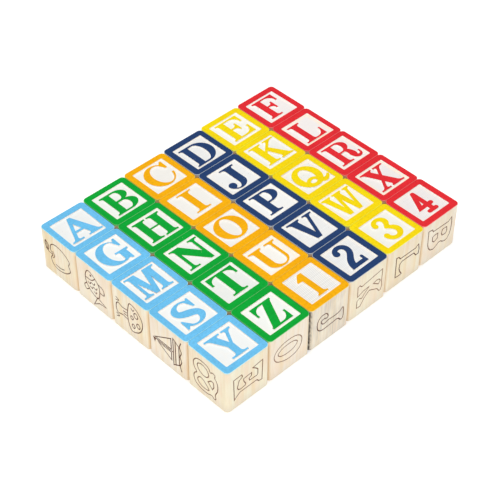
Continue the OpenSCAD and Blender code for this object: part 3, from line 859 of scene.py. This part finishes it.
def outline_loops(bm, z):
    """The closed outlines of the flat faces at height z, as lists of 2D points in millimetres."""
    after = {}
    for face in level_faces(bm, z):
        for loop in face.loops:
            if any(abs(beside.normal.z) < WALL_MOST for beside in loop.edge.link_faces):
                after[loop.vert] = loop.link_loop_next.vert
    loops = []
    while after:
        start = vert = next(iter(after))
        points = []
        while vert in after:
            points.append(Vector(vert.co.xy) / MM)
            vert = after.pop(vert)
        if vert == start:
            loops.append(points)
    return loops


def span(points):
    xs, ys = [p.x for p in points], [p.y for p in points]
    return min(xs), max(xs), min(ys), max(ys)


def thinned(points):
    """The outline without points that lie nearly on top of the one before."""
    kept = [points[0]]
    for p in points[1:]:
        if (p - kept[-1]).length > LEAST_STEP:
            kept.append(p)
    if (kept[0] - kept[-1]).length < LEAST_STEP:
        kept.pop()
    return kept


def letter_shape(mark):
    """The outline of a mark's raised shape, centred in a box one high and one wide.

    Returns its loops and how wide it really is for its height."""
    bm = welded("paint_" + mark)
    loops = outline_loops(bm, EDGE)
    bm.free()
    inner = [thinned(points) for points in loops if span(points)[1] - span(points)[0] < WIDEST_MARK]
    left, right, foot, head = span([p for points in inner for p in points])
    middle = Vector(((left + right) / 2, (foot + head) / 2))
    shares = [[Vector(((p.x - middle.x) / (right - left), (p.y - middle.y) / (head - foot))) for p in points]
              for points in inner]
    return shares, (right - left) / (head - foot)


def letter_strokes(shape):
    loops, wide = shape
    box = Vector((SIDE_LETTER_H * wide * SIDE_LETTER_NARROW, SIDE_LETTER_H))
    return [([p * box for p in points], "closed") for points in loops]


# Cutting the sides

def bulges(polygon):
    """Whether a polygon runs anticlockwise and is convex."""
    corners = zip(polygon, polygon[1:] + polygon[:1], polygon[2:] + polygon[:2])
    return all((b - a).cross(c - b) > 0 for a, b, c in corners)


def ribbon(points, closed, width):
    """Quads along a stroke, mitred where it bends."""
    count, half = len(points), width / 2
    left, right = [], []
    for i, p in enumerate(points):
        before = points[i - 1] if closed or i else None
        after = points[(i + 1) % count] if closed or i < count - 1 else None
        ways = [(b - a).normalized() for a, b in ((before, p), (p, after)) if a is not None and b is not None]
        normals = [Vector((-w.y, w.x)) for w in ways]
        across = sum(normals, Vector((0.0, 0.0)))
        if across.length < MITRE_LEAST:
            across = normals[0]
        across.normalize()
        reach = half / max(across.dot(normals[0]), MITRE_LEAST)
        end = Vector((0.0, 0.0))
        if not closed and i in (0, count - 1):
            end = ways[0] * (half if i else -half)
        left.append(p + end + across * reach)
        right.append(p + end - across * reach)
    quads = []
    for i in range(count if closed else count - 1):
        j = (i + 1) % count
        quad = [right[i], right[j], left[j], left[i]]
        if not bulges(quad):
            way = (points[j] - points[i]).normalized()
            across = Vector((-way.y, way.x)) * half
            quad = [points[i] - across, points[j] - across, points[j] + across, points[i] + across]
        quads.append(quad)
    return quads


def cutter_prisms(bm, strokes, width, to_block):
    """Adds closed prisms for all strokes of a side.

    to_block turns a place on the side (along, up, out), in millimetres, into block space."""
    verts, faces = [], []
    for points, way in strokes:
        for polygon in [points] if way == "full" else ribbon(points, way == "closed", width):
            faces.append(list(range(len(verts), len(verts) + len(polygon))))
            verts.extend(polygon)
    flat, _, triangles, _, _, origin = delaunay_2d_cdt(verts, [], faces, INSIDE_ONLY, JOINED_WITHIN)
    triangles = [t for t, o in zip(triangles, origin) if o]
    used = {(t[i], t[(i + 1) % 3]) for t in triangles for i in range(3)}
    low = [bm.verts.new(to_block(p.x, p.y, -LINE_DEPTH)) for p in flat]
    high = [bm.verts.new(to_block(p.x, p.y, LINE_PROUD)) for p in flat]
    for t in triangles:
        bm.faces.new([high[i] for i in t])
        bm.faces.new([low[i] for i in reversed(t)])
        for a, b in zip(t, t[1:] + t[:1]):
            if (b, a) not in used:
                bm.faces.new([high[b], high[a], low[a], low[b]])
    bmesh.ops.delete(bm, geom=[v for v in low + high if not v.link_faces], context="VERTS")


# The way along each side, and the way out of it.
SIDES = {
    "front": (Vector((1, 0, 0)), Vector((0, -1, 0))),
    "right": (Vector((0, 1, 0)), Vector((1, 0, 0))),
    "back": (Vector((-1, 0, 0)), Vector((0, 1, 0))),
    "left": (Vector((0, -1, 0)), Vector((-1, 0, 0))),
}


def on_side(side, turn):
    """A function from a drawing's (x, y, out) to block space. turn is anticlockwise, in degrees."""
    along, out = SIDES[side]
    c, s = math.cos(math.radians(turn)), math.sin(math.radians(turn))

    def place(x, y, proud):
        u, v = c * x - s * y, s * x + c * y
        return (along * u + Vector((0, 0, v + HALF)) + out * (HALF + proud)) * MM
    return place


def mesh_object(name, bm):
    mesh = bpy.data.meshes.new(name)
    bm.to_mesh(mesh)
    bm.free()
    obj = bpy.data.objects.new(name, mesh)
    bpy.context.scene.collection.objects.link(obj)
    return obj


def joined_by(obj, tool, operation):
    """Applies one boolean with tool, which is then deleted."""
    cut = obj.modifiers.new("cut", "BOOLEAN")
    cut.solver, cut.operation, cut.object = "MANIFOLD", operation, tool
    made = bpy.data.meshes.new_from_object(obj.evaluated_get(bpy.context.evaluated_depsgraph_get()))
    obj.modifiers.remove(cut)
    old, obj.data = obj.data, made
    made.name = obj.name
    bpy.data.meshes.remove(old)
    bpy.data.objects.remove(tool)


# What each block carries

# Drawings on the sides that the photo shows: letters on the front of the nearest row and, on the left of the
# first column, pictures with their turns and an and sign.
FRONT_LETTERS = {"y": lying_e, "z": lying_o, "1": lying_j, "2": lying_r, "3": lying_l, "4": lying_b}
LEFT_PICTURES = {"a": (0, 90), "g": (1, -68), "m": (2, -90), "s": (3, 90)}
AND_SIGN_ON = "y"

# The rest are dealt out. A block's place in MARKS times the first of these, plus the second, gives its
# drawing, and the turns follow each other from block to block.
DEALS = {
    "front": (7, 3, (-90, 90)),
    "back": (11, 8, (90, -90, -90)),
    "left": (3, 1, (0, 90, -90)),
    "right": (3, 5, (90, 0, -90)),
}

# How blocks differ, each as a share: how dark the lines are burnt, how streaky the wood is, how singed the
# walls are, how cream the ground is beside the frame, how specked it is, how plainly its raster shows, how
# grey the wood is, and by how much more on its left. Two blocks get a painted dark shadow and a grey painted
# shade on one side, where the gap between them lies in shade.
BURNT = {"y": 0.6, "z": 0.4, "1": 0.9, "2": 0.35, "3": 1.0, "4": 0.75, "a": 0.8, "g": 0.8, "m": 0.85,
         "s": 1.0}
STREAKY = {"a": 1.0, "g": 0.25, "m": 0.7, "s": 0.6, "y": 0.4, "z": 0.4, "1": 0.45, "2": 0.35, "3": 0.5,
           "4": 0.3}
SINGED = {"m": 0.8, "a": 0.4, "j": 0.4, "q": 0.5, "x": 0.3, "4": 0.5, "d": 0.4, "v": 0.3}
CREAM = {"l": 1.0, "x": 0.9, "r": 0.5, "u": 0.8, "w": 0.8, "q": 0.6}
SPECKED = {"j": 1.0, "q": 1.0, "x": 1.0, "4": 1.0, "v": 0.8, "d": 0.8, "a": 0.6}
RASTERED = {"1": 1.0, "2": 0.6, "4": 0.45, "d": 0.4, "v": 0.4, "w": 0.3}
GREYED = {"1": 0.85, "y": 0.0, "z": 0.0, "a": 0.0, "g": 0.0, "m": 0.0, "s": 0.1, "2": 0.1, "3": 0.1,
          "4": 0.15}
GREYER_LEFT = {"1": 0.3}
SHADOWED_SIDES = {"z": "right", "1": "left"}

# What blocks that aren't named above may be given by lot, at most. Grey ones are rare.
GREY_MOST = 0.5
GREY_POWER = 3
SINGED_MOST = 0.05
CREAM_MOST = 0.35
RASTER_MOST = 0.3


def dealt(side, index, count):
    """Which of count drawings a block is dealt for a side, and how it is turned."""
    step, start, turns = DEALS[side]
    return (index * step + start) % count, turns[index % len(turns)]


def side_drawing(side, mark, index, letters):
    """The strokes on a block's side, their least width, and how far they are turned."""
    if side == "front" and mark in FRONT_LETTERS:
        return drawn(FRONT_LETTERS[mark]()), LINE_W, 0
    if side in ("front", "back"):
        number, turn = dealt(side, index, len(letters))
        return letter_strokes(letters[number]), LINE_W, turn
    if side == "left" and mark == AND_SIGN_ON:
        return drawn(draw_and_sign()), PICTURE_LINE_W, 0
    number, turn = dealt(side, index, len(PICTURES))
    if side == "left":
        number, turn = LEFT_PICTURES.get(mark, (number, turn))
    return drawn(PICTURES[number](), PICTURE_SCALE), PICTURE_LINE_W, turn


def side_cutter(name, mark, index, letters):
    bm = bmesh.new()
    wider = 1 + BURNT_WIDER * BURNT.get(mark, BURNT_MIDDLING)
    for side in DEALS:
        strokes, width, turn = side_drawing(side, mark, index, letters)
        cutter_prisms(bm, strokes, width * wider, on_side(side, turn))
    return mesh_object(name, bm)


def raster_profile(low, high, rise, rng):
    """The outline of the raster's slab from low to high, as (y, z): ridges with flat crests over a root."""
    rows = round((high - low) / RASTER_PITCH)
    crest_from, crest_to = (share * RASTER_PITCH for share in CREST_SHARES)
    profile = []
    for i in range(rows):
        y = low + (high - low) * i / rows
        crest = GROUND_Z + rise * rng.uniform(CREST_LEAST, 1.0)
        profile += [(y, GROUND_Z + RASTER_LOW), (y + crest_from, crest), (y + crest_to, crest)]
    profile.append((high, GROUND_Z + RASTER_LOW))
    return profile + [(high, GROUND_Z - RASTER_ROOT), (low, GROUND_Z - RASTER_ROOT)]


def raster_slab(name, bm_block, centre, rng, rastered):
    """A slab under the engraved ground whose top carries the laser's ridges, for a union with the block."""
    rise = RASTER_RISE * (RASTER_LEAST + (1 - RASTER_LEAST) * rastered)
    ground = level_faces(bm_block, GROUND_Z)
    corners = [Vector(vert.co.xy) / MM - centre for face in ground for vert in face.verts]
    left, right, near, far = span(corners)
    low = Vector((left, near)) - Vector((RASTER_LAP, RASTER_LAP))
    high = Vector((right, far)) + Vector((RASTER_LAP, RASTER_LAP))
    profile = raster_profile(low.y, high.y, rise, rng)
    bm = bmesh.new()
    ends = [[bm.verts.new(((x + centre.x) * MM, (y + centre.y) * MM, z * MM)) for y, z in profile]
            for x in (low.x, high.x)]
    for i in range(len(profile)):
        j = (i + 1) % len(profile)
        bm.faces.new((ends[0][i], ends[0][j], ends[1][j], ends[1][i]))
    bm.faces.new(ends[0][::-1])
    bm.faces.new(ends[1])
    bmesh.ops.recalc_face_normals(bm, faces=bm.faces)
    return mesh_object(name, bm)


# What each face and each point of the wood shows

WOOD_FACES = ("side", "end", "ground", "wall", "burnt")
POINT_VALUES = ("log", "tone", "figure", "print", "rim")


def face_kind(p, normal):
    """Which wood a face shows. p is its middle in block space, in millimetres, from the block's foot."""
    least, most = sorted((abs(p.x), abs(p.y)))
    if p.z > GROUND_Z - NEAR and most < FLAT_HALF:
        if p.z < GROUND_Z + RASTER_RISE + NEAR and normal.z > RIDGE_LEAST:
            return "ground"
        return "wall" if normal.z < LEVEL_LEAST else "end"
    if BURNT_OFF_EDGE < p.z < WOOD_TOP - BURNT_OFF_EDGE and least < FLAT_HALF and most < HALF - NEAR:
        return "burnt"
    return "end" if abs(normal.z) > END_LEAST else "side"


def touched_sides(index):
    """The sides on which a block has a neighbour."""
    row, column = divmod(index, COLUMNS)
    beside = {"front": row < ROWS - 1, "right": column < COLUMNS - 1, "back": row > 0, "left": column > 0}
    return [side for side in SIDES if beside[side]]


def gap_shading(p, touched, gap_shadowed):
    """How much painted shade a point gets in a gap, 0 to 1, with a painted dark shadow as 0 to -1. p is in
    block space, in millimetres.
    """
    def share(side, start):
        return min(max((p.dot(SIDES[side][1]) - start) / (GAP_SHADE_FULL - start), 0.0), 1.0)
    dark_shadow = share(gap_shadowed, GAP_SHADOW_FROM) if gap_shadowed else 0.0
    return -dark_shadow or min(sum(share(side, GAP_SHADE_FROM) for side in touched), 1.0)


def rim_colour(index):
    """Bare rim wood with some of the block's paint on it; the paint is drawn lighter and the wood whiter and
    cooler, as painted light.
    """
    name = PAINTS[index % COLUMNS]
    coat = Vector([min(RIM_HIGHLIGHT * share, 1.0) for share in PAINT_COLOURS[name]])
    return Vector(RIM_WHITE).lerp(coat, RIM_COAT[name])


def place_in_log(rng):
    """A function from a point of the block to where it lay in the log that the block was sawn from."""
    turn = Matrix.Rotation(rng.uniform(0, 2 * math.pi), 3, "Z")
    tilt = Matrix.Rotation(rng.uniform(-LOG_TILT, LOG_TILT), 3, "X")
    pith = Vector((rng.uniform(*PITH_AWAY), 0, rng.uniform(-LOG_HALF, LOG_HALF)))
    return lambda p: tilt @ turn @ p + pith


def store_points(mesh, mark, index, rng):
    """Stores what the woods read at each point, three numbers under each name.

    They are its place in the log, its tone (hue, grey, char), its figure (streaky, singed, and the painted
    shade in its gaps, negative for a dark painted shadow), its print (cream, specked, rastered) and the
    colour of its rim."""
    to_log = place_in_log(rng)
    hue, grey, char, streaky, singed, cream, rastered = (rng.random() for _ in range(7))
    grey = GREYED.get(mark, GREY_MOST * grey ** GREY_POWER)
    char = BURNT.get(mark, char)
    streaky = STREAKY.get(mark, streaky)
    singed = SINGED.get(mark, SINGED_MOST * singed)
    cream = CREAM.get(mark, CREAM_MOST * cream)
    rastered = RASTERED.get(mark, RASTER_MOST * rastered)
    printed = (cream, SPECKED.get(mark, 0.0), rastered)
    touched, gap_shadowed = touched_sides(index), SHADOWED_SIDES.get(mark)
    rim = rim_colour(index)
    # All are made first, because making one moves the data of the others.
    for name in POINT_VALUES:
        mesh.attributes.new(name, "FLOAT_VECTOR", "POINT")
    stores = [mesh.attributes[name].data for name in POINT_VALUES]
    for i, vert in enumerate(mesh.vertices):
        p = Vector(vert.co) / MM
        tone = (hue, grey - GREYER_LEFT.get(mark, 0.0) * p.x / HALF, char)
        # The figure's last value is painted shade in the gaps, and a painted dark shadow where it is
        # negative.
        figure = (streaky, singed, gap_shading(p, touched, gap_shadowed))
        for store, value in zip(stores, (to_log(p), tone, figure, printed, rim)):
            store[i].vector = value


def dress_wood(obj, mark, index, materials, rng):
    """Gives each face its wood, and each point what its wood reads."""
    mesh = obj.data
    mesh.materials.clear()
    for kind in WOOD_FACES:
        mesh.materials.append(materials[kind])
    mesh.shade_smooth()
    for polygon in mesh.polygons:
        kind = face_kind(Vector(polygon.center) / MM, polygon.normal)
        polygon.material_index = WOOD_FACES.index(kind)
    store_points(mesh, mark, index, rng)
    # The ground is made flat last, because setting the sharp edges makes all faces smooth.
    mesh.set_sharp_from_angle(angle=SOFT_ANGLE)
    for polygon in mesh.polygons:
        polygon.use_smooth = WOOD_FACES[polygon.material_index] != "ground"
    even = obj.modifiers.new("even_normals", "WEIGHTED_NORMAL")
    even.keep_sharp = True


def body_name(mark):
    return ("letter_" if mark.isalpha() else "number_") + mark


def add_block(mark, index, letters, materials):
    rng = random.Random(SEED + index)
    node = "block_" + mark
    low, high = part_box(node)
    centre = Vector(((low.x + high.x) / 2, (low.y + high.y) / 2)) / MM
    bm = welded(node)
    slab = raster_slab("raster", bm, centre, rng, RASTERED.get(mark, 0.0))
    wood = mesh_object("wood_" + mark, bm)
    joined_by(wood, slab, "UNION")
    foot = Matrix.Translation((centre.x * MM, centre.y * MM, 0))
    cutter = side_cutter("lines", mark, index, letters)
    cutter.data.transform(foot)
    joined_by(wood, cutter, "DIFFERENCE")
    wood.data.transform(foot.inverted())
    wood.location = foot.translation
    dress_wood(wood, mark, index, materials, rng)
    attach(wood, body_name(mark))
    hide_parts(node)


def paint_coat(mark, material):
    """Gives the CAD model's own coat its paint."""
    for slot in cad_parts["paint_" + mark].material_slots:
        slot.link = "OBJECT"
        slot.material = material


def add_floor():
    bm = bmesh.new()
    bmesh.ops.create_grid(bm, x_segments=FLOOR_SQUARES, y_segments=FLOOR_SQUARES, size=FLOOR_HALF)
    floor = mesh_object("floor", bm)
    floor.location.z = -FLOOR_DROP
    floor.data.materials.append(floor_material())


def build():
    add_camera()
    add_light()
    add_floor()
    materials = {"side": side_wood(), "end": end_wood(), "ground": ground_wood(), "wall": wall_wood(),
                 "burnt": burnt_wood()}
    paints = [paint(name) for name in PAINTS]
    letters = [letter_shape(mark) for mark in LETTERS]
    for index, mark in enumerate(MARKS):
        add_block(mark, index, letters, materials)
        paint_coat(mark, paints[index % COLUMNS])


build()
